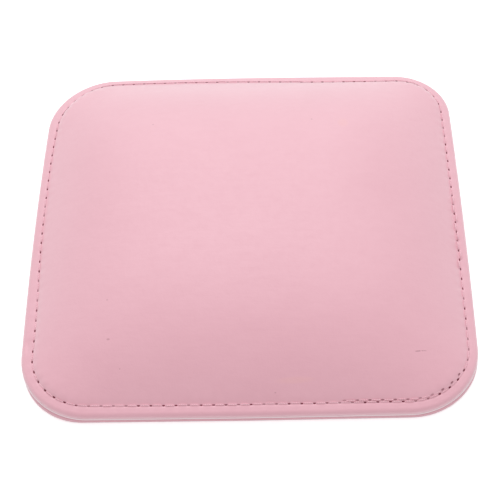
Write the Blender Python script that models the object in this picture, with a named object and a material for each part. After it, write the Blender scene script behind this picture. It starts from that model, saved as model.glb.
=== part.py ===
"""Manicure hand rest: a square crowned cushion of soft sheet leather over foam, sewn round its rim to a flat base.

The pad lies on its base, which is the plane z = 0, centred on the origin. +X is its width, +Y runs away from
the person whose hand lies on it, and +Z is up. Every length is in metres.

From the table up it is made of two turned-edge layers that one lockstitch seam holds together. The base layer
is a flat sheet wrapped round a thin board. The top layer is a crowned sheet wrapped round a moulded foam. Each
sheet ends in a hem that is folded in between the layers, where the seam catches it.
"""

import bpy
import numpy as np

# Overall size of the pad and the rounding of its corners, seen from above
PAD_WIDTH = 0.200
PAD_DEPTH = 0.1915
TOP_CORNER_RADIUS = 0.031
BASE_CORNER_RADIUS = 0.027

# Sheet, board and foam
SHEET_THICKNESS = 0.0007
BOARD_THICKNESS = 0.0007
FOAM_RIM_THICKNESS = 0.0021
HEM_WIDTH = 0.012
CLEARANCE = 0.0003

# The seam
SEAM_INSET = 0.0047
THREAD_DIAMETER = 0.0006
STITCH_PITCH = 0.0053
THREAD_PROUD = 0.0003
GROOVE_WALL = 0.0007
GROOVE_SLACK = 0.00005

# The crown: a steep little shoulder inside the seam, and a wide dome on it
SHOULDER_HEIGHT = 0.0022
SHOULDER_WIDTH = 0.0040
SHOULDER_POWER = 2.0
DOME_HEIGHT = 0.0168
DOME_POWER = 3.0

# How finely the curves are cut into facets
CORNER_STEPS = 9
SIDE_STEPS = 6
NOSE_STEPS = 5
INNER_CORNER_RADIUS = 0.008
THREAD_BEVEL_RESOLUTION = 1
SMOOTH_ANGLE = 0.6

# Heights worked out from the stack, from the table up
THREAD_ROOM = THREAD_DIAMETER + CLEARANCE
BASE_GROOVE_DEPTH = THREAD_ROOM + GROOVE_SLACK
BASE_CORE = max(BOARD_THICKNESS + 2 * CLEARANCE, BASE_GROOVE_DEPTH + CLEARANCE)
BASE_TOP = BASE_CORE + 2 * SHEET_THICKNESS
BOARD_BOTTOM = SHEET_THICKNESS + CLEARANCE
BOARD_TOP = BOARD_BOTTOM + BOARD_THICKNESS
TOP_BOTTOM = BASE_TOP + CLEARANCE
TOP_LAYER = FOAM_RIM_THICKNESS + 2 * (SHEET_THICKNESS + CLEARANCE)
RIM_TOP = TOP_BOTTOM + TOP_LAYER
GROOVE_BOTTOM = RIM_TOP - THREAD_ROOM
GROOVE_HALF_WIDTH = THREAD_DIAMETER / 2 + CLEARANCE + GROOVE_SLACK
CROWN_INSET = SEAM_INSET + GROOVE_HALF_WIDTH

# Where the rings that draw the crown lie: as shares of the shoulder's width, and then of the way that is left
# from its inner end to the middle
SHOULDER_RINGS = (0.15, 0.40, 1.0)
DOME_RINGS = (0.05, 0.11, 0.18, 0.27, 0.38, 0.51, 0.66, 0.83)


def new_material(name, colour, roughness):
    """A plain surface of one colour, which the viewport shows as well."""
    material = bpy.data.materials.new(name)
    material.use_nodes = True
    shader = material.node_tree.nodes["Principled BSDF"]
    shader.inputs["Base Color"].default_value = (*colour, 1.0)
    shader.inputs["Roughness"].default_value = roughness
    shader.inputs["Metallic"].default_value = 0.0
    material.diffuse_color = (*colour, 1.0)
    return material


def corner_ring(half_width, half_depth, radius):
    """The corner centre and the outward direction of each point of a rounded rectangle, anticlockwise from +X.

    Each corner is a quarter turn of equal steps. Each side is cut into equal steps between two corners, so a
    point there has no corner centre of its own: it is placed between the ends of the two arcs.
    """
    centres, directions = [], []
    signs = ((1, 1), (-1, 1), (-1, -1), (1, -1))
    for quarter, (sign_x, sign_y) in enumerate(signs):
        centre = np.array((sign_x * (half_width - radius), sign_y * (half_depth - radius)))
        following = signs[(quarter + 1) % len(signs)]
        next_centre = np.array((following[0] * (half_width - radius), following[1] * (half_depth - radius)))
        for step in range(CORNER_STEPS + 1):
            angle = (quarter + step / CORNER_STEPS) * np.pi / 2
            centres.append(centre)
            directions.append((np.cos(angle), np.sin(angle)))
        for step in range(1, SIDE_STEPS):
            centres.append(centre + (next_centre - centre) * step / SIDE_STEPS)
            directions.append(directions[-1])
    return np.array(centres), np.array(directions)


class Outline:
    """A rounded rectangle that can be drawn at any inset from its edge."""

    def __init__(self, width, depth, radius):
        self.half_depth = depth / 2
        self.radius = radius
        self.centres, self.directions = corner_ring(width / 2, depth / 2, radius)
        self.count = len(self.centres)
        self.deepest_offset = radius - min(INNER_CORNER_RADIUS, radius / 2)

    def ring(self, inset):
        """The points at one inset, or at one inset for each point.

        Near the edge a ring keeps its distance from it. Past the inset at which the corners would become
        sharp, that ring is drawn smaller instead, towards the middle of the pad.
        """
        inset = np.broadcast_to(inset, self.count)
        shallow = np.minimum(inset, self.deepest_offset)
        points = self.centres + self.directions * (self.radius - shallow)[:, None]
        shrink = (self.half_depth - inset) / (self.half_depth - self.deepest_offset)
        return points * np.clip(shrink, 0.0, 1.0)[:, None]


def ring_stack(outline, insets, heights):
    """Rings of points in space, one for each row of insets and heights."""
    rings = []
    for inset, height in zip(insets, heights):
        flat = outline.ring(inset)
        rings.append(np.column_stack((flat, np.broadcast_to(height, outline.count))))
    return np.array(rings)


def offset_section(insets, heights, distance):
    """The same section moved into the material by a distance, with mitred corners.

    The section runs so that the material is on its right. Each corner moves along the sum of the normals of
    the two stretches that meet there, which keeps both at the full distance.
    """
    along_s = np.diff(insets, axis=0)
    along_z = np.diff(heights, axis=0)
    length = np.hypot(along_s, along_z)
    normal_s = -along_z / length
    normal_z = along_s / length
    before_s = np.concatenate((normal_s[:1], normal_s))
    before_z = np.concatenate((normal_z[:1], normal_z))
    after_s = np.concatenate((normal_s, normal_s[-1:]))
    after_z = np.concatenate((normal_z, normal_z[-1:]))
    reach = 1 + before_s * after_s + before_z * after_z
    moved_s = insets - distance * (before_s + after_s) / reach
    moved_z = heights - distance * (before_z + after_z) / reach
    return moved_s, moved_z


def lofted_solid(name, rings, material):
    """One closed solid: a skin over the rings in their order, with a fan of triangles closing each end.

    Each cell between two rings is cut across from its outer ring to its inner one in the direction of the
    points. A sheet's two faces, whose rings run opposite ways, are then cut alike and stay parallel.
    """
    ring_count, count, _ = rings.shape
    corners = rings.reshape(-1, 3)
    ends = np.array((rings[0].mean(axis=0), rings[-1].mean(axis=0)))
    spread = np.hypot(rings[..., 0], rings[..., 1]).mean(axis=1)
    faces = []
    for ring in range(ring_count - 1):
        for point in range(count):
            following = (point + 1) % count
            low, high = ring * count, (ring + 1) * count
            if spread[ring] >= spread[ring + 1]:
                faces.append((low + point, low + following, high + following))
                faces.append((low + point, high + following, high + point))
            else:
                faces.append((low + point, low + following, high + point))
                faces.append((low + following, high + following, high + point))
    first_end, last_end = ring_count * count, ring_count * count + 1
    last_ring = (ring_count - 1) * count
    for point in range(count):
        following = (point + 1) % count
        faces.append((first_end, following, point))
        faces.append((last_end, last_ring + point, last_ring + following))
    mesh = bpy.data.meshes.new(name)
    mesh.from_pydata(np.concatenate((corners, ends)).tolist(), [], faces)
    mesh.materials.append(material)
    mesh.shade_smooth()
    mesh.set_sharp_from_angle(angle=SMOOTH_ANGLE)
    solid = bpy.data.objects.new(name, mesh)
    bpy.context.scene.collection.objects.link(solid)
    return solid


def nose(radius, middle_height):
    """The half round of a turned edge, from its foot, out over the edge, to its top."""
    angles = np.linspace(-np.pi / 2, np.pi / 2, 2 * NOSE_STEPS + 1)
    return radius * (1 - np.cos(angles)), middle_height + radius * np.sin(angles)


def crown_rise(outline, insets):
    """Height of the crown above the floor of the seam groove, at each point of the rings at these insets.

    The shoulder rises from the groove and levels off over its width. The dome adds a product of two curves,
    one across the width and one across the depth, each of which is one in the middle and falls to nothing at
    the seam.
    """
    half_width = PAD_WIDTH / 2 - CROWN_INSET
    half_depth = PAD_DEPTH / 2 - CROWN_INSET
    heights = []
    for inset in insets:
        share = np.clip((inset - CROWN_INSET) / SHOULDER_WIDTH, 0.0, 1.0)
        shoulder = 1 - (1 - share) ** SHOULDER_POWER
        x, y = np.abs(outline.ring(inset)).T
        across = 1 - np.clip(x / half_width, 0.0, 1.0) ** DOME_POWER
        along = 1 - np.clip(y / half_depth, 0.0, 1.0) ** DOME_POWER
        heights.append(shoulder * (SHOULDER_HEIGHT + DOME_HEIGHT * across * along))
    return np.array(heights)


def top_section(outline):
    """The outer face of the top layer, from its turned edge over the seam groove and up the crown.

    It is given as insets and heights, with a row for each ring and a column for each point round the pad.
    """
    nose_s, nose_z = nose(TOP_LAYER / 2, TOP_BOTTOM + TOP_LAYER / 2)
    groove_s = (SEAM_INSET - GROOVE_HALF_WIDTH - GROOVE_WALL, SEAM_INSET - GROOVE_HALF_WIDTH, CROWN_INSET)
    groove_z = (RIM_TOP, GROOVE_BOTTOM, GROOVE_BOTTOM)
    middle = PAD_DEPTH / 2
    foot = CROWN_INSET + SHOULDER_WIDTH
    crown_s = [CROWN_INSET + SHOULDER_WIDTH * share for share in SHOULDER_RINGS]
    crown_s += [foot + (middle - foot) * share for share in DOME_RINGS]
    crown_z = GROOVE_BOTTOM + crown_rise(outline, crown_s)
    rim_s = np.concatenate((nose_s, groove_s))
    rim_z = np.concatenate((nose_z, groove_z))
    insets = np.concatenate((rim_s, crown_s))[:, None] * np.ones(outline.count)
    heights = np.concatenate((rim_z[:, None] * np.ones(outline.count), crown_z))
    return insets, heights


def with_start(insets, heights, inset, height):
    """The section with one more ring before its first."""
    row = np.ones((1, insets.shape[1]))
    return np.concatenate((inset * row, insets)), np.concatenate((height * row, heights))


def make_top_cover(outline, material):
    """The crowned sheet: from the middle of its reverse, out and round the hem, and back over its face."""
    insets, heights = with_start(*top_section(outline), HEM_WIDTH, TOP_BOTTOM)
    inner_s, inner_z = offset_section(insets, heights, SHEET_THICKNESS)
    face = ring_stack(outline, insets, heights)
    reverse = ring_stack(outline, inner_s[::-1], inner_z[::-1])
    return lofted_solid("top_cover", np.concatenate((reverse, face)), material)


def make_foam_pad(outline, material):
    """The moulded foam: it fills the crown and the rim, and reaches down between the hems to the board."""
    insets, heights = top_section(outline)
    top_s, top_z = offset_section(insets, heights, SHEET_THICKNESS + CLEARANCE)
    row = np.ones((1, outline.count))
    inside_hems = (HEM_WIDTH + CLEARANCE) * row
    over_board = (BOARD_TOP + CLEARANCE) * row
    over_hem = (TOP_BOTTOM + SHEET_THICKNESS + CLEARANCE) * row
    insets = np.concatenate((inside_hems, inside_hems, top_s))
    heights = np.concatenate((over_board, over_hem, top_z))
    return lofted_solid("foam_pad", ring_stack(outline, insets, heights), material)


def make_base_cover(outline, material):
    """The flat sheet under the pad, drawn up at the seam, and folded over at the edge into its hem."""
    nose_s, nose_z = nose(BASE_TOP / 2, BASE_TOP / 2)
    wall = GROOVE_HALF_WIDTH + GROOVE_WALL
    groove_s = SEAM_INSET + np.array((wall, GROOVE_HALF_WIDTH, -GROOVE_HALF_WIDTH, -wall))
    groove_z = (0.0, BASE_GROOVE_DEPTH, BASE_GROOVE_DEPTH, 0.0)
    flat_middle = PAD_DEPTH / 4
    section_s = np.concatenate(((flat_middle,), groove_s, nose_s, (HEM_WIDTH,)))
    section_z = np.concatenate(((0.0,), groove_z, nose_z, (BASE_TOP,)))
    insets = section_s[:, None] * np.ones(outline.count)
    heights = section_z[:, None] * np.ones(outline.count)
    inner_s, inner_z = offset_section(insets, heights, SHEET_THICKNESS)
    face = ring_stack(outline, insets, heights)
    reverse = ring_stack(outline, inner_s[::-1], inner_z[::-1])
    return lofted_solid("base_cover", np.concatenate((face, reverse)), material)


def make_base_board(outline, material):
    """The stiffening board: a flat plate that ends inside the seam, so that the needle never meets it."""
    edge = SEAM_INSET + GROOVE_HALF_WIDTH + GROOVE_WALL + SHEET_THICKNESS + CLEARANCE
    insets = np.full((2, outline.count), edge)
    heights = np.array((BOARD_BOTTOM, BOARD_TOP))[:, None] * np.ones(outline.count)
    return lofted_solid("base_board", ring_stack(outline, insets, heights), material)


def seam_path(outline, levels):
    """The line of one thread round the pad, with every stitch passing through the same levels in turn.

    The distance along the seam is added up from ring point to ring point, and the places of the stitches are
    then read off at equal distances.
    """
    ring = outline.ring(SEAM_INSET)
    closed = np.concatenate((ring, ring[:1]))
    travelled = np.concatenate(((0.0,), np.cumsum(np.hypot(*np.diff(closed, axis=0).T))))
    stitches = max(3, round(travelled[-1] / STITCH_PITCH))
    count = stitches * len(levels)
    stations = np.arange(count) * travelled[-1] / count
    x = np.interp(stations, travelled, closed[:, 0])
    y = np.interp(stations, travelled, closed[:, 1])
    return np.column_stack((x, y, np.tile(levels, stitches)))


def make_thread(name, outline, levels, material):
    """A closed round cord along the seam."""
    points = seam_path(outline, levels)
    curve = bpy.data.curves.new(name, "CURVE")
    curve.dimensions = "3D"
    curve.bevel_depth = THREAD_DIAMETER / 2
    curve.bevel_resolution = THREAD_BEVEL_RESOLUTION
    spline = curve.splines.new("POLY")
    spline.points.add(len(points) - 1)
    for point, place in zip(spline.points, points):
        point.co = (*place, 1.0)
    spline.use_cyclic_u = True
    curve.materials.append(material)
    thread = bpy.data.objects.new(name, curve)
    bpy.context.scene.collection.objects.link(thread)
    return thread


def build():
    """Makes every piece of the hand rest in its place."""
    for leftover in list(bpy.data.objects):
        bpy.data.objects.remove(leftover, do_unlink=True)
    sheet = new_material("pink sheet leather", (0.86, 0.53, 0.61), 0.45)
    foam = new_material("cream foam", (0.90, 0.86, 0.74), 0.95)
    board = new_material("grey board", (0.42, 0.40, 0.37), 0.90)
    thread = new_material("pale pink thread", (0.90, 0.62, 0.68), 0.60)
    top_outline = Outline(PAD_WIDTH, PAD_DEPTH, TOP_CORNER_RADIUS)
    base_outline = Outline(PAD_WIDTH, PAD_DEPTH, BASE_CORNER_RADIUS)
    make_base_cover(base_outline, sheet)
    make_base_board(base_outline, board)
    make_foam_pad(top_outline, foam)
    make_top_cover(top_outline, sheet)
    in_the_hole = GROOVE_BOTTOM + CLEARANCE + THREAD_DIAMETER / 2
    over_the_stitch = in_the_hole + THREAD_PROUD
    make_thread("needle_thread", top_outline, (in_the_hole, over_the_stitch), thread)
    make_thread("bobbin_thread", base_outline, (BASE_GROOVE_DEPTH - CLEARANCE - THREAD_DIAMETER / 2,), thread)


build()
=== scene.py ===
# %% [markdown]
# # A manicure hand rest, dressed
#
# The real thing is a small foam cushion in pink sheet leather. Its crowned top layer is sewn round the rim to
# a thin flat base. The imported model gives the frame, the sizes and the hidden pieces. Each sheet that shows
# is worked out again here as a fine surface, because the look of such a cushion lies in its seam: the leather
# dips at every needle hole and swells a little between two of them.

import bpy
import numpy as np
from mathutils import Matrix, Vector


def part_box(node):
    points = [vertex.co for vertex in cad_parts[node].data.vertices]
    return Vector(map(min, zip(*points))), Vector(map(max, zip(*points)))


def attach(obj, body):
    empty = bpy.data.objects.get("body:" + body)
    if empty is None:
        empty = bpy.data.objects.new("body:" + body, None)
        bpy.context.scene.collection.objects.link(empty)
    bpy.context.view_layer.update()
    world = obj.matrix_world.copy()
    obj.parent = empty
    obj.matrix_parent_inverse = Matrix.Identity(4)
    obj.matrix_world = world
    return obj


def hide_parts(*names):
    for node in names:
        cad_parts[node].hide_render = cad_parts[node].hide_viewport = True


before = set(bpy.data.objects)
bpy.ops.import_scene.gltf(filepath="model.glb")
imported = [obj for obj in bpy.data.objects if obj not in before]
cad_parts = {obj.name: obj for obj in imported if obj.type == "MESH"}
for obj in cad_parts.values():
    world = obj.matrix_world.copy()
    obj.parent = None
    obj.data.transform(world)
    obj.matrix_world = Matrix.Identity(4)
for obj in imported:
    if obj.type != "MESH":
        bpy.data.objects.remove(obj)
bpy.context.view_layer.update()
print("nodes:", sorted(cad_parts))

# %% [markdown]
# Everything below is counted in millimetres and turned into metres only when a mesh is made. The overall
# sizes come from the frame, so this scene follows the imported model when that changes.

# %% Sizes
MM = 0.001
pad_low, pad_high = (np.array(corner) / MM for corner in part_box("top_cover"))
base_low, base_high = (np.array(corner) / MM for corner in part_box("base_cover"))
HALF_WIDTH = (base_high[0] - base_low[0]) / 2
HALF_DEPTH = (base_high[1] - base_low[1]) / 2
BASE_TOP = base_high[2]
LAYER_BOTTOM = pad_low[2]
ROLL_TOP = 6.65
SEAM_INSET = 4.7
SEAM_FLOOR = 7.05
STITCHES = 132
print(f"pad {2 * HALF_WIDTH:.1f} x {2 * HALF_DEPTH:.1f} mm, top layer starts {LAYER_BOTTOM:.1f} mm up")

# %% [markdown]
# ## The camera
#
# The photograph looks down on the pad at 55 degrees through a long lens, with a slight turn and roll. The
# lens was chosen so that the stitches come out equally long at the front and at the sides. The camera is
# placed first, because some marks on the leather are placed by where the photograph shows them: a line from
# the camera through that point of the picture is followed until it meets the pad.

# %% Camera
PICTURE = 500
FOCAL_PIXELS = 1250
SENSOR = 36.0
ELEVATION = np.radians(55.0)
DISTANCE = 571.6
TURN = np.radians(-2.21)
ROLL = np.radians(2.69)
AIM_OFFSET = np.array((-0.28, 11.66, 0.0))
SEAM_PLANE = 6.6


def turned(vector):
    """A vector of the camera's own upright frame, in the pad's frame: turned back by TURN about +Z."""
    cosine, sine = np.cos(-TURN), np.sin(-TURN)
    x, y, z = vector
    return np.array((cosine * x - sine * y, sine * x + cosine * y, z))


level = np.array((1.0, 0.0, 0.0))
forward = np.array((0.0, np.cos(ELEVATION), -np.sin(ELEVATION)))
upward = np.array((0.0, np.sin(ELEVATION), np.cos(ELEVATION)))
camera_right = turned(np.cos(ROLL) * level - np.sin(ROLL) * upward)
camera_up = turned(np.sin(ROLL) * level + np.cos(ROLL) * upward)
camera_forward = turned(forward)
camera_place = turned(-DISTANCE * forward - AIM_OFFSET) + np.array((0.0, 0.0, SEAM_PLANE))

camera_data = bpy.data.cameras.new("photo_camera")
camera_data.sensor_width = SENSOR
camera_data.lens = SENSOR * FOCAL_PIXELS / PICTURE
camera_data.clip_start = 0.01
camera = bpy.data.objects.new("photo_camera", camera_data)
bpy.context.scene.collection.objects.link(camera)
camera.matrix_world = Matrix(
    [
        (*row, place * MM)
        for row, place in zip(np.array((camera_right, camera_up, -camera_forward)).T.tolist(), camera_place)
    ]
    + [(0.0, 0.0, 0.0, 1.0)]
)
bpy.context.scene.camera = camera
print("lens", round(camera_data.lens, 1), "mm")


def picture_ray(column, row):
    """The direction from the camera through a point of the 500 x 500 picture."""
    across = (column - PICTURE / 2) / FOCAL_PIXELS
    down = (row - PICTURE / 2) / FOCAL_PIXELS
    return camera_forward + across * camera_right - down * camera_up


def where_seen(column, row, height):
    """The point at a height over the table that the picture shows at a column and row, in millimetres."""
    ray = picture_ray(column, row)
    return camera_place + ray * (height - camera_place[2]) / ray[2]


# %% [markdown]
# ## The line of the rim
#
# Seen from above the pad is a rounded rectangle whose four corners differ a little and whose sides and back
# swell outward by one to two millimetres. A point of it is found from two numbers. The first runs round the
# pad and counts stitches, so the needle holes lie one apart. The second is the inset, the distance in from
# the edge. In the photograph the seam lies nearer to the edge at the back and the left than at the front, and
# wanders in by a millimetre or so at three places. The front edge also runs a little askew. A plain square
# with a bevel would be quicker, but it could not carry a seam with an even stitch.

# %% The rim as a function of stitch and inset
TOP_RADII = (25.0, 31.0, 30.0, 31.0)
BASE_RADII = (26.0, 26.0, 26.8, 29.8)
INNER_RADIUS = 8.0
SIDE_SPREAD = 2.0
RIGHT_BOW = 1.2
LEFT_BOW = 2.0
BACK_BOW = 1.5
SEAM_SHIFTS = (-0.4, -1.0, -0.7, -0.1)
SHIFT_FADES = (5.0, 16.0)
WANDERINGS = ((25.0, 8.0, 1.2), (51.0, 4.0, 1.4), (76.0, 6.5, 1.5))
FRONT_SKEW = 0.8
SIGNS = np.array(((1, 1), (-1, 1), (-1, -1), (1, -1)))


class Rim:
    """A rounded rectangle, walked anticlockwise from the middle of the right side in steps of equal length.

    Between two corners the centre of the rounding slides along and the outward direction stands still. In a
    corner the centre stands still and the direction turns. A point at an inset s is
    centre + direction * (radius - s).
    """

    def __init__(self, radii, columns):
        radii = np.array(radii)
        corners = SIGNS * (np.array((HALF_WIDTH - SIDE_SPREAD, HALF_DEPTH)) - radii[:, None])
        knots, centres, angles, sizes = [0.0], [(corners[0, 0], 0.0)], [0.0], [radii[0]]
        for number, (corner, radius) in enumerate(zip(corners, radii)):
            start = number * np.pi / 2
            reach = np.hypot(*(corner - centres[-1]))
            knots += [knots[-1] + reach, knots[-1] + reach + np.pi / 2 * (radius - SEAM_INSET)]
            centres += [corner, corner]
            angles += [start, start + np.pi / 2]
            sizes += [radius, radius]
        knots.append(knots[-1] + np.hypot(corners[3, 0] - corners[0, 0], corners[3, 1]))
        centres.append((corners[0, 0], 0.0))
        angles.append(2 * np.pi)
        sizes.append(radii[0])
        self.length = knots[-1]
        self.stitch = np.arange(columns) / columns * STITCHES
        self.knots = np.array(knots) * STITCHES / knots[-1]
        self.centres = np.array(centres, dtype=float)
        self.angles = np.array(angles)
        self.sizes = np.array(sizes)
        self.deepest = radii.min() - INNER_RADIUS

    def outward_at(self, stitch):
        """The outward direction at a stitch number, of any shape."""
        angle = np.interp(stitch, self.knots, self.angles)
        return np.stack((np.cos(angle), np.sin(angle)), axis=-1)

    def true_inset(self, stitch, outward, inset):
        """The inset with the seam's drift added: in full at the seam, fading to none at the edge and inside.

        The drift is the right and left values shared out by the outward direction's x squared, plus the
        back and front values shared out by its y squared, plus a bell for each wandering:
        size * exp(-(stitches from its middle / half length) ^ 2).
        """
        right, back, left, front = SEAM_SHIFTS
        across, along = outward[..., 0], outward[..., 1]
        drift = np.where(across > 0, right, left) * across**2 + np.where(along > 0, back, front) * along**2
        for middle, half_length, size in WANDERINGS:
            drift = drift + size * np.exp(-(((stitch - middle) / half_length) ** 2))
        fade_out, deep_end = SHIFT_FADES
        outer_fade = np.clip(inset / SEAM_INSET, 0.0, 1.0)
        inner_fade = np.clip((deep_end - inset) / (deep_end - fade_out), 0.0, 1.0)
        return inset + drift * (outer_fade * inner_fade)

    def at(self, stitch, inset):
        """The points at stitch numbers and insets of one shape, as x and y arrays.

        Deeper than the roundings reach, the ring is drawn smaller instead. Last come the skew of the front,
        y + skew * x / half width * -y / half depth for the right half, the swell of the back,
        y - bow * (x / half width) ^ 2 * y / half depth, and that of the sides,
        x * (1 + (spread - bow * (y / half depth) ^ 2) / half width), where each side has a bow of its own.
        """
        outward = self.outward_at(stitch)
        inset = self.true_inset(stitch, outward, inset)
        reach = np.interp(stitch, self.knots, self.sizes) - np.minimum(inset, self.deepest)
        x = np.interp(stitch, self.knots, self.centres[:, 0]) + outward[..., 0] * reach
        y = np.interp(stitch, self.knots, self.centres[:, 1]) + outward[..., 1] * reach
        shrink = (HALF_DEPTH - np.maximum(inset, self.deepest)) / (HALF_DEPTH - self.deepest)
        x, y = x * shrink, y * shrink
        y = y + FRONT_SKEW * np.clip(x / HALF_WIDTH, 0.0, 1.0) * np.clip(-y / HALF_DEPTH, 0.0, 1.0)
        y = y - BACK_BOW * (x / HALF_WIDTH) ** 2 * np.clip(y / HALF_DEPTH, 0.0, 1.0)
        bow = np.where(x > 0, RIGHT_BOW, LEFT_BOW)
        return x * (1 + (SIDE_SPREAD - bow * (y / HALF_DEPTH) ** 2) / HALF_WIDTH), y

    def points(self, inset):
        """The points of every column at an inset."""
        return self.at(self.stitch + 0 * inset, inset + 0 * self.stitch)


seam_rim = Rim(TOP_RADII, 8 * STITCHES)
print(f"seam {seam_rim.length:.0f} mm long, {seam_rim.length / STITCHES:.2f} mm a stitch")

# %% [markdown]
# ## The crown
#
# The foam is moulded. It rises from the seam as one broad dome, steepest beside the seam and almost level in
# the middle. Cloth simulation would make the same swell, but the moulded foam and the tight sheet leave it
# nothing to decide, so the shape is written as two formulas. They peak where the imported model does, to a
# tenth of a millimetre, with a slightly fuller dome and a lower shoulder beside the seam.

# %% Crown height
CROWN_FOOT = 5.35
SHOULDER_HEIGHT = 0.6
SHOULDER_WIDTH = 4.0
CROWN_PEAK = 25.2
DOME_HEIGHT = CROWN_PEAK - SEAM_FLOOR - SHOULDER_HEIGHT
DOME_POWER = 3.5
SEARCH_ROUNDS = 8


def crown(x, y, inset):
    """Height over the seam's floor: a small shoulder + dome height * across * along.

    The shoulder rises over 4 mm as 1 - (1 - share) ^ 2. Across and along are
    1 - |distance from the middle / half length| ^ 3.5. A small round takes the place of a corner at the foot.
    """
    past_seam = np.maximum(inset - SEAM_INSET, 0.0)
    foot = past_seam / (past_seam + CROWN_FOOT - SEAM_INSET)
    share = np.clip(past_seam / SHOULDER_WIDTH, 0.0, 1.0)
    shoulder = SHOULDER_HEIGHT * (1 - (1 - share) ** 2)
    across = 1 - np.clip(np.abs(x) / (HALF_WIDTH - CROWN_FOOT), 0.0, 1.0) ** DOME_POWER
    along = 1 - np.clip(np.abs(y) / (HALF_DEPTH - CROWN_FOOT), 0.0, 1.0) ** DOME_POWER
    return foot * (shoulder + DOME_HEIGHT * across * along)


def inset_of(x, y):
    """How far a point lies inside the edge of the pad, measured to the nearest side or rounded corner."""
    radius = TOP_RADII[0]
    over = np.maximum(np.array((abs(x) - HALF_WIDTH + radius, abs(y) - HALF_DEPTH + radius)), 0.0)
    nearest_side = min(HALF_WIDTH - abs(x), HALF_DEPTH - abs(y))
    return radius - np.hypot(*over) if over.all() else nearest_side


def on_crown(column, row):
    """The point of the crown that the picture shows: its height and its place are found in turn."""
    height = SEAM_FLOOR + SHOULDER_HEIGHT + DOME_HEIGHT
    for _ in range(SEARCH_ROUNDS):
        point = where_seen(column, row, height)
        height = SEAM_FLOOR + float(crown(point[0], point[1], inset_of(point[0], point[1])))
    return point


print("crown peak", SEAM_FLOOR + crown(0.0, 0.0, HALF_DEPTH), "mm")

# %% [markdown]
# ## The section
#
# A cut through the rim shows the sheet come in from under the foam, turn up round a thin lip, roll over
# the edge and run almost flat to the seam. The section is drawn once as a line of insets and heights and then
# carried round the pad. Beside each point stands its distance along the sheet, counted so that the seam is at
# 4.7. That distance is the second half of the leather's own map, which places the painted shade in the needle
# holes and the pale band on the lip, partly a pale cut edge and partly a painted highlight.

# %% Section of the top layer
ROLL_WIDTH = 2.3
ROLL_HEIGHT = 1.9
ROLL_INSET = 0.15
LIP_RADIUS = 0.28
HEM_REACH = 12.0
GROOVE_REACH = 1.5
CENTRE_ROW = 48.0
LIP_TURN = (-90, 75)
ROLL_TURN = (-25, 80)
CROWN_RINGS = 44


def arc(inset, height, radius, start, end, count, width=None):
    """Part of a circle, or of an ellipse if it has a width: 0 points outwards and 90 degrees up."""
    angle = np.radians(np.linspace(start, end, count))
    return inset - (width or radius) * np.cos(angle), height + radius * np.sin(angle)


def sheet_distance(insets, heights, seam_row):
    """Distance along the section, shifted so that the row of the seam reads the seam's own inset."""
    travelled = np.concatenate(((0.0,), np.cumsum(np.hypot(np.diff(insets), np.diff(heights)))))
    return SEAM_INSET + travelled - travelled[seam_row]


def seam_dip(inset):
    """One at the seam and falling to nothing at a reach from it, as half a cosine wave."""
    share = np.clip(np.abs(inset - SEAM_INSET) / GROOVE_REACH, 0.0, 1.0)
    return 0.5 + 0.5 * np.cos(np.pi * share)


lip_s, lip_z = arc(LIP_RADIUS, LAYER_BOTTOM + LIP_RADIUS, LIP_RADIUS, *LIP_TURN, 9)
roll_end = ROLL_INSET + ROLL_WIDTH
roll_s, roll_z = arc(roll_end, ROLL_TOP - ROLL_HEIGHT, ROLL_HEIGHT, *ROLL_TURN, 16, ROLL_WIDTH)
border_s = np.linspace(roll_s[-1], SEAM_INSET, 13)[1:]
border_z = roll_z[-1] + (SEAM_FLOOR - roll_z[-1]) * (border_s - roll_s[-1]) / (SEAM_INSET - roll_s[-1])
edge_s = np.concatenate(((CENTRE_ROW, HEM_REACH), lip_s, roll_s, border_s))
edge_z = np.concatenate(((LAYER_BOTTOM, LAYER_BOTTOM), lip_z, roll_z, border_z))
crown_s = SEAM_INSET + (HALF_DEPTH - SEAM_INSET) * np.linspace(0.0, 1.0, CROWN_RINGS + 2)[1:-1] ** 2.0
top_s = np.concatenate((edge_s, crown_s))
top_v = np.concatenate((sheet_distance(edge_s, edge_z, len(edge_s) - 1), crown_s))
print(len(top_s), "rings in the top layer")

# %% [markdown]
# ## Puckers
#
# Each stitch pulls the sheet down hardest at its two holes. Between them the sheet springs back and swells, a
# little on the border and more on the foot of the crown. No two stitches pull alike, so each has a strength
# of its own. The same rule shapes the top and, turned over and weaker, the underside.

# %% Puckers round each needle hole
HOLE_DIP = 0.38
HOLE_SPREAD = 0.85
HOLE_BREADTH = 0.6
CROWN_SWELL, CROWN_SWELL_PLACE, CROWN_SWELL_BREADTH = 0.15, 1.9, 1.3
BORDER_SWELL, BORDER_SWELL_PLACE, BORDER_SWELL_BREADTH = 0.07, -1.4, 0.7
PULL_RANGE = (0.6, 1.35)
HOLE_SIDEWAYS = 0.10
SEED = 11
STEPS_A_STITCH = 40
HOLE_IN_FRONT = (251.2, 403.4)
generator = np.random.default_rng(SEED)
pull_strength = generator.uniform(*PULL_RANGE, STITCHES)
hole_sideways = generator.normal(0.0, HOLE_SIDEWAYS, STITCHES)


def nearest_stitch(rim, place):
    """The stitch number at which the seam passes nearest to a point."""
    numbers = np.linspace(0.0, STITCHES, STEPS_A_STITCH * STITCHES)
    x, y = rim.at(numbers, SEAM_INSET + 0 * numbers)
    return numbers[np.argmin(np.hypot(x - place[0], y - place[1]))]


FIRST_HOLE = nearest_stitch(seam_rim, where_seen(*HOLE_IN_FRONT, SEAM_PLANE)) % 1.0


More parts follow.
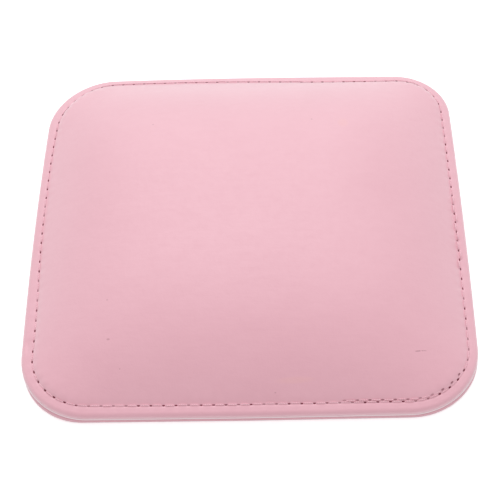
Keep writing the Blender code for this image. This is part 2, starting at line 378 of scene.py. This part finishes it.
def puckers(stitch, inset, pitch):
    """Height to add: minus a bell round each hole, plus a swell that is highest in the middle of a stitch.

    The holes are the whole numbers after the first hole's share of a stitch is taken off. The strength is
    read in a straight line between one hole and the next.
    """
    number = (stitch - FIRST_HOLE) % STITCHES
    beside = (number - np.round(number)) * pitch
    across = inset - SEAM_INSET
    strength = np.interp(number, np.arange(STITCHES + 1), np.append(pull_strength, pull_strength[0]))
    dip = HOLE_DIP * np.exp(-((beside / HOLE_SPREAD) ** 2) - (across / HOLE_BREADTH) ** 2)
    rise = 0.5 - 0.5 * np.cos(2 * np.pi * number)
    swell = CROWN_SWELL * np.exp(-(((across - CROWN_SWELL_PLACE) / CROWN_SWELL_BREADTH) ** 2))
    from_border = (across - BORDER_SWELL_PLACE) / BORDER_SWELL_BREADTH
    swell = swell + BORDER_SWELL * np.exp(-(from_border**2))
    return strength * (rise * swell - dip)


# %% [markdown]
# ## From a grid to a mesh
#
# Every sheet here is a grid: its rows are rings round the pad and its columns run up the section. The helper
# takes the whole arrays, closes the two ends with a fan of triangles each, and lays the leather's own map
# over it. It writes the numbers straight into the mesh, which is much faster than adding vertices one at a
# time.

# %% Grid to mesh
MAP_SHIFT = 15.0
MAP_SPAN = 120.0


def ring_mesh(name, x, y, z, distance):
    """A closed skin over rings of points, lowest first, each anticlockwise from above so that faces look out.

    The map is (share of the way round, (distance along the sheet + 15) / 120).
    """
    rows, columns = x.shape
    rings = np.stack((x, y, z), axis=-1)
    vertices = np.concatenate((rings.reshape(-1, 3), rings[[0, -1]].mean(axis=1))) * MM
    here = np.arange(columns)
    beyond = (here + 1) % columns
    below = np.arange(rows - 1)[:, None] * columns
    above = below + columns
    quads = np.stack((below + here, below + beyond, above + beyond, above + here), axis=-1)
    last_row = (rows - 1) * columns
    floor_fan = np.column_stack((np.full(columns, rows * columns), beyond, here))
    roof_fan = np.column_stack((np.full(columns, rows * columns + 1), last_row + here, last_row + beyond))
    corners = np.concatenate((quads.ravel(), floor_fan.ravel(), roof_fan.ravel()))
    quad_count = (rows - 1) * columns
    starts = np.concatenate((4 * np.arange(quad_count), 4 * quad_count + 3 * np.arange(2 * columns)))

    mesh = bpy.data.meshes.new(name)
    mesh.vertices.add(len(vertices))
    mesh.vertices.foreach_set("co", vertices.ravel())
    mesh.loops.add(len(corners))
    mesh.loops.foreach_set("vertex_index", corners)
    mesh.polygons.add(len(starts))
    mesh.polygons.foreach_set("loop_start", starts)

    left, right = here / columns, (here + 1) / columns
    round_quads = np.broadcast_to(np.stack((left, right, right, left), axis=-1), (rows - 1, columns, 4))
    up = (distance + MAP_SHIFT) / MAP_SPAN
    low, high = up[:-1, None], up[1:, None]
    up_quads = np.stack(np.broadcast_arrays(low, low, high, high), axis=-1)
    up_quads = np.broadcast_to(up_quads, (rows - 1, columns, 4))
    middle = (left + right) / 2
    round_all = (round_quads.ravel(), np.stack((middle, right, left), -1).ravel())
    round_all += (np.stack((middle, left, right), -1).ravel(),)
    up_all = (up_quads.ravel(), np.full(3 * columns, up[0]), np.full(3 * columns, up[-1]))
    mesh_map = np.column_stack((np.concatenate(round_all), np.concatenate(up_all)))
    mesh.uv_layers.new(name="sheet").data.foreach_set("uv", mesh_map.ravel())
    mesh.update(calc_edges=True)
    mesh.validate()
    mesh.shade_smooth()
    return mesh


def add_piece(name, mesh, material_slot, *stands_for):
    """The mesh as a piece of the pad, riding on its one body and standing for nodes of the frame."""
    piece = bpy.data.objects.new(name, mesh)
    bpy.context.scene.collection.objects.link(piece)
    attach(piece, "root")
    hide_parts(*stands_for)
    print(name, len(mesh.vertices), "vertices")
    return piece


# %% [markdown]
# ## The cushion
#
# The top layer is now the section carried round the rim, with the crown's height inside the seam and the
# puckers on top. Two things keep it from looking machined: the foam is a shade uneven under the sheet, and
# the left border has one small dent, which the photograph shows.

# %% The cushion
UNEVEN = 0.11
UNEVEN_FROM, UNEVEN_FADE = 8.0, 12.0
BORDER_DENT = (32.0, 346.0)
DENT_DEPTH = 0.5
DENT_LENGTH = 3.2
DENT_INSET, DENT_BREADTH = 2.6, 1.5


def unevenness(x, y):
    """A few long waves across the foam, none of them as high as a fifth of a millimetre."""
    long_wave = np.sin(x / 17 + 1.0) * np.cos(y / 23 - 0.4)
    cross_wave = np.sin(x / 11 - y / 14) * 0.6
    return UNEVEN * (long_wave + cross_wave)


def top_layer(rim, pitch):
    """Rings of the top layer: x, y and z of every row and column."""
    inset = top_s[:, None] * np.ones(len(rim.stitch))
    x, y = rim.points(inset)
    inside = (np.arange(len(top_s)) >= len(edge_s))[:, None]
    height = np.concatenate((edge_z, np.zeros(len(crown_s))))[:, None]
    fade_in = np.clip((inset - UNEVEN_FROM) / UNEVEN_FADE, 0.0, 1.0)
    dome = SEAM_FLOOR + crown(x, y, inset) + unevenness(x, y) * fade_in
    z = np.where(inside, dome, height)
    above = np.arange(len(top_s))[:, None] > 2 + len(lip_s)
    z = z + np.where(above, puckers(rim.stitch, inset, pitch), 0.0)
    from_dent = (rim.stitch - nearest_stitch(rim, where_seen(*BORDER_DENT, ROLL_TOP))) * pitch
    across_dent = (inset - DENT_INSET) / DENT_BREADTH
    dent = DENT_DEPTH * np.exp(-((from_dent / DENT_LENGTH) ** 2) - across_dent**2)
    return x, y, z - np.where(above, dent, 0.0)


pitch = seam_rim.length / STITCHES
cushion_mesh = ring_mesh("cushion", *top_layer(seam_rim, pitch), top_v)
cushion = add_piece("cushion", cushion_mesh, "cover", "top_cover", "foam_pad")

# %% [markdown]
# ## The base
#
# The base is a second sheet round a thin board, with an edge that is only a small round. Its corners are a
# little squarer than those of the cushion and its left side lies a millimetre further in, so a crescent of it
# shows below the front corners. Underneath, the seam draws it up into a shallow groove all round.

# %% The base
BASE_GROOVE = 0.95
LEFT_TUCK = 1.0
FULL_LIFT = 0.3
nose_radius = BASE_TOP / 2
under_s = np.concatenate(((CENTRE_ROW, 24.0, 12.0), np.linspace(SEAM_INSET + 1.8, nose_radius, 27)))
under_z = BASE_GROOVE * seam_dip(under_s)
seam_row = int(np.argmin(np.abs(under_s - SEAM_INSET)))
nose_s, nose_z = arc(nose_radius, nose_radius, nose_radius, -90, 90, 13)
base_s = np.concatenate((under_s, nose_s[1:], (HEM_REACH, CENTRE_ROW)))
base_z = np.concatenate((under_z, nose_z[1:], (BASE_TOP, BASE_TOP)))
base_v = 2 * SEAM_INSET - sheet_distance(base_s, base_z, seam_row)
base_rim = Rim(BASE_RADII, 4 * STITCHES)


def base_layer(rim, pitch):
    """Rings of the base: the flat section carried round, drawn up at each hole of the seam."""
    inset = base_s[:, None] * np.ones(len(rim.stitch))
    x, y = rim.points(inset)
    x = x + LEFT_TUCK * np.clip(-x / HALF_WIDTH, 0.0, 1.0) * np.clip(1 - inset / HEM_REACH, 0.0, 1.0)
    under = np.arange(len(base_s))[:, None] < len(under_s)
    lift = np.where(under, np.clip(-puckers(rim.stitch, inset, pitch), 0.0, FULL_LIFT), 0.0)
    return x, y, base_z[:, None] + lift


base = add_piece("base", ring_mesh("base", *base_layer(base_rim, pitch), base_v), "cover", "base_cover")

# %% [markdown]
# ## The stitches
#
# A lockstitch shows as one short length of thread after another. Each comes up out of one hole, lies on the
# sheet and goes down the next. All of them are one array here: a tube of eight sides carried along an arched
# line. At the end of the seam the machine ran on over its own start, at the front right, and left a second
# row of holes beside the first. On the right side a few stitches were made with a slack thread and stand up
# from the sheet.

# %% Where the seam is irregular
OVERRUN_START = (343.0, 404.0)
OVERRUN_END = (462.0, 372.0)
OVERRUN_SIDEWAYS = 0.75
OVERRUN_PHASE = 0.38
OVERRUN_RISE = 0.34
OVERRUN_WOBBLE = 0.08
SLACK_START = (460.5, 272.0)
SLACK_END = (453.0, 204.0)
overrun_first = np.floor(nearest_stitch(seam_rim, where_seen(*OVERRUN_START, SEAM_PLANE)))
overrun_last = np.floor(nearest_stitch(seam_rim, where_seen(*OVERRUN_END, SEAM_PLANE)))
slack_first = nearest_stitch(seam_rim, where_seen(*SLACK_START, SEAM_PLANE))
slack_last = nearest_stitch(seam_rim, where_seen(*SLACK_END, SEAM_PLANE))
print("overrun from stitch", overrun_first, "to", overrun_last, "slack from", slack_first, "to", slack_last)

# %% A stitch as a tube
THREAD_RADIUS = 0.19
THREAD_SUNK = 0.10
ENTRY = 0.11
ENTRY_DEPTH = 1.2
ENTRY_THINNING = 0.45
ALONG = 0.5 - 0.5 * np.cos(np.linspace(0.0, np.pi, 13))
AROUND = np.arange(8) * np.pi / 4


def stitch_tubes(rim, first, radius, inset, ground, crest, side):
    """Tubes of thread, one for each stitch, as an array (stitch, step along, step round, xyz).

    The middle line runs from hole to hole at the ground plus crest * sin(pi * share) ^ 0.5, less a dive
    into the hole at both ends. side is 1 for a seam seen from above and -1 for one seen from below. The
    thread is pulled a little way into the sheet.
    """
    share = ALONG[None, :]
    stitch = (first[:, None] + share) % STITCHES
    x, y = rim.at(stitch, inset[:, None] + 0 * share)
    outward = rim.outward_at(stitch)
    ends = np.exp(-((share / ENTRY) ** 2)) + np.exp(-(((1 - share) / ENTRY) ** 2))
    arch = np.sqrt(np.sin(np.pi * np.clip(share, 0.001, 0.999)))
    z = ground + side * (radius[:, None] - THREAD_SUNK + crest[:, None] * arch - ENTRY_DEPTH * ends)
    thin = (radius[:, None] * (1 - ENTRY_THINNING * ends))[..., None]
    sideways = thin * np.cos(AROUND)
    tube_x = x[..., None] + outward[..., 0, None] * sideways
    tube_y = y[..., None] + outward[..., 1, None] * sideways
    tube_z = z[..., None] + thin * np.sin(AROUND)
    return np.stack(np.broadcast_arrays(tube_x, tube_y, tube_z), axis=-1)


def tube_mesh(name, tubes):
    """One mesh of many closed tubes, with an eight-sided cap on both ends of each."""
    count, steps, sides, _ = tubes.shape
    tube_start = np.arange(count)[:, None, None] * steps * sides
    step_start = np.arange(steps - 1)[None, :, None] * sides
    side = np.arange(sides)[None, None, :]
    here = tube_start + step_start + side
    beyond = tube_start + step_start + (side + 1) % sides
    walls = np.stack((here, here + sides, beyond + sides, beyond), axis=-1).reshape(-1, 4)
    caps = (tube_start[:, 0] + np.arange(sides)).tolist()
    far_caps = (tube_start[:, 0] + (steps - 1) * sides + np.arange(sides)[::-1]).tolist()
    mesh = bpy.data.meshes.new(name)
    mesh.from_pydata((tubes.reshape(-1, 3) * MM).tolist(), [], walls.tolist() + caps + far_caps)
    mesh.validate()
    mesh.shade_smooth()
    return mesh


# %% Needle thread and bobbin thread
NEEDLE_CREST = 0.08
CREST_SPREAD = 0.06
BOBBIN_CREST = 0.12
SLACK_CREST = 0.65
SLACK_SIDEWAYS = 0.34
SLACK_RADIUS = 0.30
first_hole = np.arange(STITCHES) + FIRST_HOLE
is_slack = (first_hole >= slack_first) | (first_hole <= slack_last)
sideways = hole_sideways + np.where(is_slack, generator.normal(0.0, SLACK_SIDEWAYS, STITCHES), 0.0)
radii = np.where(is_slack, SLACK_RADIUS, THREAD_RADIUS)
crests = NEEDLE_CREST + CREST_SPREAD * generator.random(STITCHES) + np.where(is_slack, SLACK_CREST, 0.0)
run = stitch_tubes(seam_rim, first_hole, radii, SEAM_INSET + sideways, SEAM_FLOOR, crests, 1)
second_holes = np.arange(overrun_first, overrun_last) + FIRST_HOLE + OVERRUN_PHASE
second_wobble = generator.normal(0.0, OVERRUN_WOBBLE, len(second_holes))
second_inset = SEAM_INSET + OVERRUN_SIDEWAYS + second_wobble
second_crest = np.full(len(second_holes), NEEDLE_CREST)
second_radii = np.full(len(second_holes), THREAD_RADIUS)
second_ground = SEAM_FLOOR + OVERRUN_RISE
over = stitch_tubes(seam_rim, second_holes, second_radii, second_inset, second_ground, second_crest, 1)
needle_mesh = tube_mesh("needle_stitches", np.concatenate((run, over)))
needle_thread = add_piece("needle_stitches", needle_mesh, "thread", "needle_thread")

under_crest = np.full(STITCHES, BOBBIN_CREST)
under_inset = SEAM_INSET + hole_sideways
under_radii = np.full(STITCHES, THREAD_RADIUS)
under_run = stitch_tubes(base_rim, first_hole, under_radii, under_inset, BASE_GROOVE, under_crest, -1)
bobbin_mesh = tube_mesh("bobbin_stitches", under_run)
bobbin_thread = add_piece("bobbin_stitches", bobbin_mesh, "thread", "bobbin_thread")

# %% [markdown]
# ## Writing materials as sums
#
# A material is a net of nodes, which is hard to read back. The small class below wraps one output of a node
# and lets it be added, multiplied and subtracted as a number is, so a mask reads as a formula. Any other node
# comes from its one method, which takes the node's type, its settings and the values or links of its inputs.

# %% Sums on sockets
class Wire:
    """An output of a node that adds, subtracts and multiplies as a number does."""

    def __init__(self, tree, output=None):
        self.tree = tree
        self.output = output

    def node(self, kind, settings=None, inputs=None, output=0):
        """A new node of that type, with its settings made first, as a wire from one of its outputs."""
        made = self.tree.nodes.new(kind)
        for name, value in (settings or {}).items():
            setattr(made, name, value)
        for name, value in (inputs or {}).items():
            if isinstance(value, Wire):
                self.tree.links.new(value.output, made.inputs[name])
            else:
                made.inputs[name].default_value = value
        return Wire(self.tree, made.outputs[output])

    def math(self, operation, *values):
        return self.node("ShaderNodeMath", {"operation": operation}, dict(enumerate(values)))

    def __add__(self, other):
        return self.math("ADD", self, other)

    __radd__ = __add__

    def __sub__(self, other):
        return self.math("SUBTRACT", self, other)

    def __rsub__(self, other):
        return self.math("SUBTRACT", other, self)

    def __mul__(self, other):
        return self.math("MULTIPLY", self, other)

    __rmul__ = __mul__

    def step(self, low, high):
        """0 below low and 1 above high with a smooth ramp between, or the other way round if low > high."""
        ends = {"From Min": min(low, high), "From Max": max(low, high)}
        ends.update({"To Min": float(low > high), "To Max": float(low < high), "Value": self})
        return self.node("ShaderNodeMapRange", {"interpolation_type": "SMOOTHSTEP"}, ends)

    def mix(self, first, second):
        """The first colour where this wire is 0 and the second where it is 1."""
        sides = {0: self, 6: first, 7: second}
        return self.node("ShaderNodeMix", {"data_type": "RGBA"}, sides, output=2)


def new_material(name, colour, **sockets):
    """A material, a wire to start its sums from, and its Principled shader with plain values set."""
    material = bpy.data.materials.new(name)
    material.use_nodes = True
    material.diffuse_color = colour
    shader = material.node_tree.nodes["Principled BSDF"]
    shader.inputs["Base Color"].default_value = colour
    for socket, value in sockets.items():
        shader.inputs[socket.replace("_", " ")].default_value = value
    return material, Wire(material.node_tree), shader


def bump(wire, height, distance, strength, normal=None):
    """A surface that a height in metres pushes up: a node that feeds Normal only."""
    inputs = {"Strength": strength, "Distance": distance, "Height": height}
    if normal is not None:
        inputs["Normal"] = normal
    return wire.node("ShaderNodeBump", None, inputs)


# %% [markdown]
# ## Pink sheet leather
#
# The sheet is a coloured skin on a pale backing. From arm's length it is one even pink with a soft sheen.
# Close up it has a fine pebble grain, a little cloudiness, and a few marks of use that the photograph shows:
# one scratch, some pinpricks, and two faint orange stains. Each mark is an ellipse placed where the picture
# shows it. The painted shade in the needle holes and the pale band on the lip follow the sheet's own map
# instead, so they stay with the seam and the edge. That band is partly a pale cut edge and partly a painted
# highlight.

# %% Marks on the crown
PINK = (0.815, 0.418, 0.497, 1.0)
DEEP_PINK = (0.715, 0.330, 0.405, 1.0)
# Painted shade: the dark colour inside each needle hole.
HOLE_SHADE = (0.200, 0.020, 0.045, 1.0)
# A pale cut edge, lightened past the sheet's own colour as a painted highlight along the lip.
PALE_EDGE_AND_HIGHLIGHT = (1.000, 0.840, 0.880, 1.0)
SCRATCH_TONE = (0.360, 0.110, 0.150, 1.0)
STAIN_TONE = (0.850, 0.440, 0.430, 1.0)
LIP_HIGHLIGHT_STRENGTH, OVERRUN_STRENGTH = 0.95, 0.65
STAIN_STRENGTH, SCRATCH_STRENGTH, PRICK_STRENGTH = 0.32, 0.75, 0.55
SCRATCH = ((420.0, 351.0), (3.6, 0.25), 8.0)
PRICKS = (((107.0, 300.0), (0.5, 0.4), 0.0), ((108.0, 339.5), (0.9, 0.6), 0.0))
PRICKS += (((153.0, 124.5), (0.6, 0.4), 0.0), ((275.3, 392.8), (0.5, 0.3), 0.0))
PRICKS += (((311.6, 119.0), (0.6, 0.5), 0.0), ((119.6, 369.2), (0.4, 0.3), 0.0))
STAINS = (((343.0, 122.5), (3.2, 3.6), 0.0), ((295.0, 380.0), (10.0, 1.6), 2.0))


def mark(place, picture_point, half_sizes, angle, soft):
    """One inside an ellipse on the crown and nothing outside it, with an edge as soft as asked.

    The point minus the middle is turned by the angle and divided by the half sizes, so its length is 1 on
    the ellipse.
    """
    middle = on_crown(*picture_point) * MM
    turn = np.radians(angle)
    across = place.node("ShaderNodeSeparateXYZ", None, {0: place})
    east = across - float(middle[0])
    north = Wire(place.tree, across.output.node.outputs[1]) - float(middle[1])
    along = (east * float(np.cos(turn)) + north * float(np.sin(turn))) * (1 / (half_sizes[0] * MM))
    beside = (north * float(np.cos(turn)) - east * float(np.sin(turn))) * (1 / (half_sizes[1] * MM))
    return (along * along + beside * beside).step(1.0, 1.0 - soft)


def noise(place, scale, detail):
    return place.node("ShaderNodeTexNoise", None, {"Vector": place, "Scale": scale, "Detail": detail})


def stretched(place, factors):
    """The place with each axis multiplied by its own factor, which draws a pattern out along an axis."""
    return place.node("ShaderNodeMapping", {"vector_type": "POINT"}, {"Vector": place, "Scale": factors})


# %% The leather of the cushion and the base
HOLE_HALF_LENGTH = 0.78
HOLE_HALF_WIDTH = 0.33


def holes(round_share, distance, phase, inset):
    """One in each needle hole: an ellipse round every whole stitch number, read from the sheet's own map."""
    number = round_share * STITCHES + float(0.5 - FIRST_HOLE - phase + STITCHES)
    along = (number.math("FRACT", number) - 0.5) * (pitch / HOLE_HALF_LENGTH)
    beside = (distance - inset) * (1 / HOLE_HALF_WIDTH)
    return (along * along + beside * beside).step(1.25, 0.55)


SOFT_SKIN = {"Coat_Weight": 0.25, "Coat_Roughness": 0.45, "Sheen_Weight": 0.8, "Sheen_Roughness": 0.6}
LIP_LOW, LIP_HIGH = top_v[2], top_v[1 + len(lip_s)]


def leather(name, with_marks):
    """Pink, cloudy, creased, pebbled leather, with painted shade in its needle holes and a pale lip that is
    partly a painted highlight.
    """
    material, start, shader = new_material(name, PINK, **SOFT_SKIN)
    place = start.node("ShaderNodeTexCoord", output=3)
    sheet_map = start.node("ShaderNodeUVMap", {"uv_map": "sheet"})
    round_share = start.node("ShaderNodeSeparateXYZ", None, {0: sheet_map})
    distance = Wire(start.tree, round_share.output.node.outputs[1]) * MAP_SPAN - MAP_SHIFT

    cloud = noise(place, 38.0, 3.0).step(0.35, 0.75)
    mottle = noise(place, 160.0, 3.0).step(0.35, 0.70)
    fibre = noise(place, 420.0, 2.0).step(0.40, 0.75)
    crease = noise(stretched(place, (0.25, 1.0, 1.0)), 320.0, 3.0).step(0.30, 0.70)
    tone = (cloud * 0.12 + mottle * 0.06 + fibre * 0.05 + crease * 0.06).mix(PINK, DEEP_PINK)
    in_hole = holes(round_share, distance, 0.0, SEAM_INSET)
    # The pale band on the lip: partly the pale cut edge, partly a painted highlight.
    lip_highlight = distance.step(LIP_LOW - 0.15, LIP_LOW + 0.1) * distance.step(LIP_HIGH + 0.2, LIP_HIGH)
    dent = in_hole
    if with_marks:
        share_low = float(overrun_first + FIRST_HOLE) / STITCHES
        share_high = float(overrun_last + FIRST_HOLE) / STITCHES
        in_run = round_share.math("GREATER_THAN", round_share, share_low) * round_share.math(
            "LESS_THAN", round_share, share_high
        )
        second = holes(round_share, distance, OVERRUN_PHASE, SEAM_INSET + OVERRUN_SIDEWAYS) * in_run
        in_hole = in_hole.math("MAXIMUM", in_hole, second * OVERRUN_STRENGTH)
        tone = (lip_highlight * LIP_HIGHLIGHT_STRENGTH).mix(tone, PALE_EDGE_AND_HIGHLIGHT)
        for picture_point, half_sizes, angle in STAINS:
            stain = mark(place, picture_point, half_sizes, angle, 0.95) * STAIN_STRENGTH
            tone = stain.mix(tone, STAIN_TONE)
        scratch = mark(place, *SCRATCH, 0.8) * noise(place, 900.0, 2.0).step(0.35, 0.55)
        pricked = scratch
        for picture_point, half_sizes, angle in PRICKS:
            pricked = pricked + mark(place, picture_point, half_sizes, angle, 0.9) * PRICK_STRENGTH
        tone = (pricked * SCRATCH_STRENGTH).mix(tone, SCRATCH_TONE)
        dent = in_hole + pricked * 0.3
    start.tree.links.new(tone.output, shader.inputs["Base Color"])
    # Painted shade: a dark diffuse shader is mixed into the needle holes to stand for the shade inside each
    # pit.
    hole_shade_share = in_hole * (0.50 + 0.45 * noise(place, 90.0, 1.0).step(0.42, 0.52))
    pit_shade = start.node("ShaderNodeBsdfDiffuse", None, {"Color": HOLE_SHADE})
    skin = Wire(start.tree, shader.outputs["BSDF"])
    whole = start.node("ShaderNodeMixShader", None, {0: hole_shade_share, 1: skin, 2: pit_shade})
    start.tree.links.new(whole.output, start.tree.nodes["Material Output"].inputs["Surface"])

    pebble = place.node("ShaderNodeTexVoronoi", {"feature": "SMOOTH_F1"}, {"Vector": place, "Scale": 1500.0})
    grain = pebble * 0.8 + noise(place, 2600.0, 2.0) * 0.4
    rough = 0.48 + 0.07 * fibre + 0.25 * in_hole
    start.tree.links.new(rough.output, shader.inputs["Roughness"])
    fine = bump(start, grain, 0.00006, 0.35)
    soft = bump(start, crease * 0.5 + mottle, 0.00012, 0.35, fine)
    deep = bump(start, 1 - dent, 0.0004, 0.8, soft)
    start.tree.links.new(deep.output, shader.inputs["Normal"])
    return material


cushion.data.materials.append(leather("cushion_leather", True))
base.data.materials.append(leather("base_leather", False))

# %% [markdown]
# ## Thread and board
#
# The thread is two plies of polyester in a pink paler than the sheet. The board and the foam are shut inside,
# so their finish only shows when the pad is taken apart, but the board has one all the same.

# %% Thread
THREAD_PINK = (0.960, 0.640, 0.710, 1.0)
# Painted shade for the grooves between the plies of the thread.
PLY_GROOVE_SHADE = (0.700, 0.270, 0.350, 1.0)


def thread_material():
    """Pale pink thread with slanting plies, drawn as bands across all three directions, with painted shade in
    the grooves between the plies.
    """
    material, start, shader = new_material("thread", THREAD_PINK, Roughness=0.8, Specular_IOR_Level=0.25)
    place = start.node("ShaderNodeTexCoord", output=3)
    bands = {"Vector": place, "Scale": 700.0}
    plies = place.node("ShaderNodeTexWave", {"bands_direction": "DIAGONAL"}, bands)
    colour = (plies.step(0.55, 0.05) * 0.6).mix(THREAD_PINK, PLY_GROOVE_SHADE)
    start.tree.links.new(colour.output, shader.inputs["Base Color"])
    start.tree.links.new(bump(start, plies, 0.00008, 0.6).output, shader.inputs["Normal"])
    return material


thread = thread_material()
needle_thread.data.materials.append(thread)
bobbin_thread.data.materials.append(thread)

# %% Board
BOARD_GREY = (0.380, 0.360, 0.330, 1.0)
BOARD_FLECK = (0.220, 0.200, 0.180, 1.0)


def board_material():
    """Pressed paper pulp: grey, with darker flecks and a dry surface."""
    material, start, shader = new_material("pulp_board", BOARD_GREY, Roughness=0.9)
    place = start.node("ShaderNodeTexCoord", output=3)
    flecks = noise(place, 700.0, 4.0)
    colour = flecks.step(0.50, 0.70).mix(BOARD_GREY, BOARD_FLECK)
    start.tree.links.new(colour.output, shader.inputs["Base Color"])
    start.tree.links.new(bump(start, flecks, 0.0001, 0.5).output, shader.inputs["Normal"])
    return material


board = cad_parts["base_board"]
board.data.materials.clear()
board.data.materials.append(board_material())

# %% [markdown]
# ## Floor and light
#
# The photograph has the pad on white in large soft light that is strongest from behind, so the far slope is
# palest and the front slope darkest. One large lamp behind the pad and an even sky stand for it, and together
# they light a level surface to about its own colour. The floor looks white because it glows a little for the
# camera and for reflections only, and it keeps the pad's soft shadow.

# %% What the camera sees
def seen_directly(tree):
    """One where the camera sees it, directly or mirrored or through glass, and nothing for its light."""
    look = Wire(tree).node("ShaderNodeLightPath")
    rays = look.output.node.outputs
    seen = look.math("MAXIMUM", look, Wire(tree, rays["Is Glossy Ray"]))
    return seen.math("MAXIMUM", seen, Wire(tree, rays["Is Transmission Ray"]))


# %% Floor
FLOOR_GLOW = 0.5
FLOOR_PAINT = (0.92, 0.92, 0.92, 1.0)
FLOOR_SIZE = 6.0
FLOOR_PLACE = (0.0, 0.0, -0.0002)
bpy.ops.mesh.primitive_grid_add(
    size=FLOOR_SIZE, x_subdivisions=2, y_subdivisions=2, location=FLOOR_PLACE
)
floor = bpy.context.object
floor.name = "floor"
floor_material = bpy.data.materials.new("white_floor")
floor_material.use_nodes = True
floor_tree = floor_material.node_tree
floor_tree.nodes.remove(floor_tree.nodes["Principled BSDF"])
seen = seen_directly(floor_tree)
paint = seen.node("ShaderNodeBsdfDiffuse", None, {"Color": FLOOR_PAINT})
glow = seen.node("ShaderNodeEmission", None, {"Strength": seen * FLOOR_GLOW})
together = seen.node("ShaderNodeAddShader", None, {0: paint, 1: glow})
floor_tree.links.new(together.output, floor_tree.nodes["Material Output"].inputs["Surface"])
floor.data.materials.append(floor_material)

# %% Sky
SKY_LEVEL = 0.69
world = bpy.data.worlds.new("white_room")
bpy.context.scene.world = world
world.use_nodes = True
world_tree = world.node_tree
sky = world_tree.nodes["Background"]
sky.inputs["Color"].default_value = (1.0, 1.0, 1.0, 1.0)
seen_sky = seen_directly(world_tree)
world_tree.links.new((SKY_LEVEL + (1 - SKY_LEVEL) * seen_sky).output, sky.inputs["Strength"])


# %% Lamp
LAMP_PLACE = (-0.05, 0.83, 1.00)
LAMP_SIZE = 1.0
LAMP_ENERGY = 8.2


def soft_lamp(name, place, size, energy):
    """A square lamp that faces the middle of the pad."""
    lamp_data = bpy.data.lights.new(name, "AREA")
    lamp_data.size = size
    lamp_data.energy = energy
    lamp = bpy.data.objects.new(name, lamp_data)
    bpy.context.scene.collection.objects.link(lamp)
    lamp.location = place
    lamp.rotation_euler = (-Vector(place)).to_track_quat("-Z", "Y").to_euler()


soft_lamp("back_lamp", LAMP_PLACE, LAMP_SIZE, LAMP_ENERGY)

# %% Last lines
bpy.context.scene.view_settings.view_transform = "Standard"
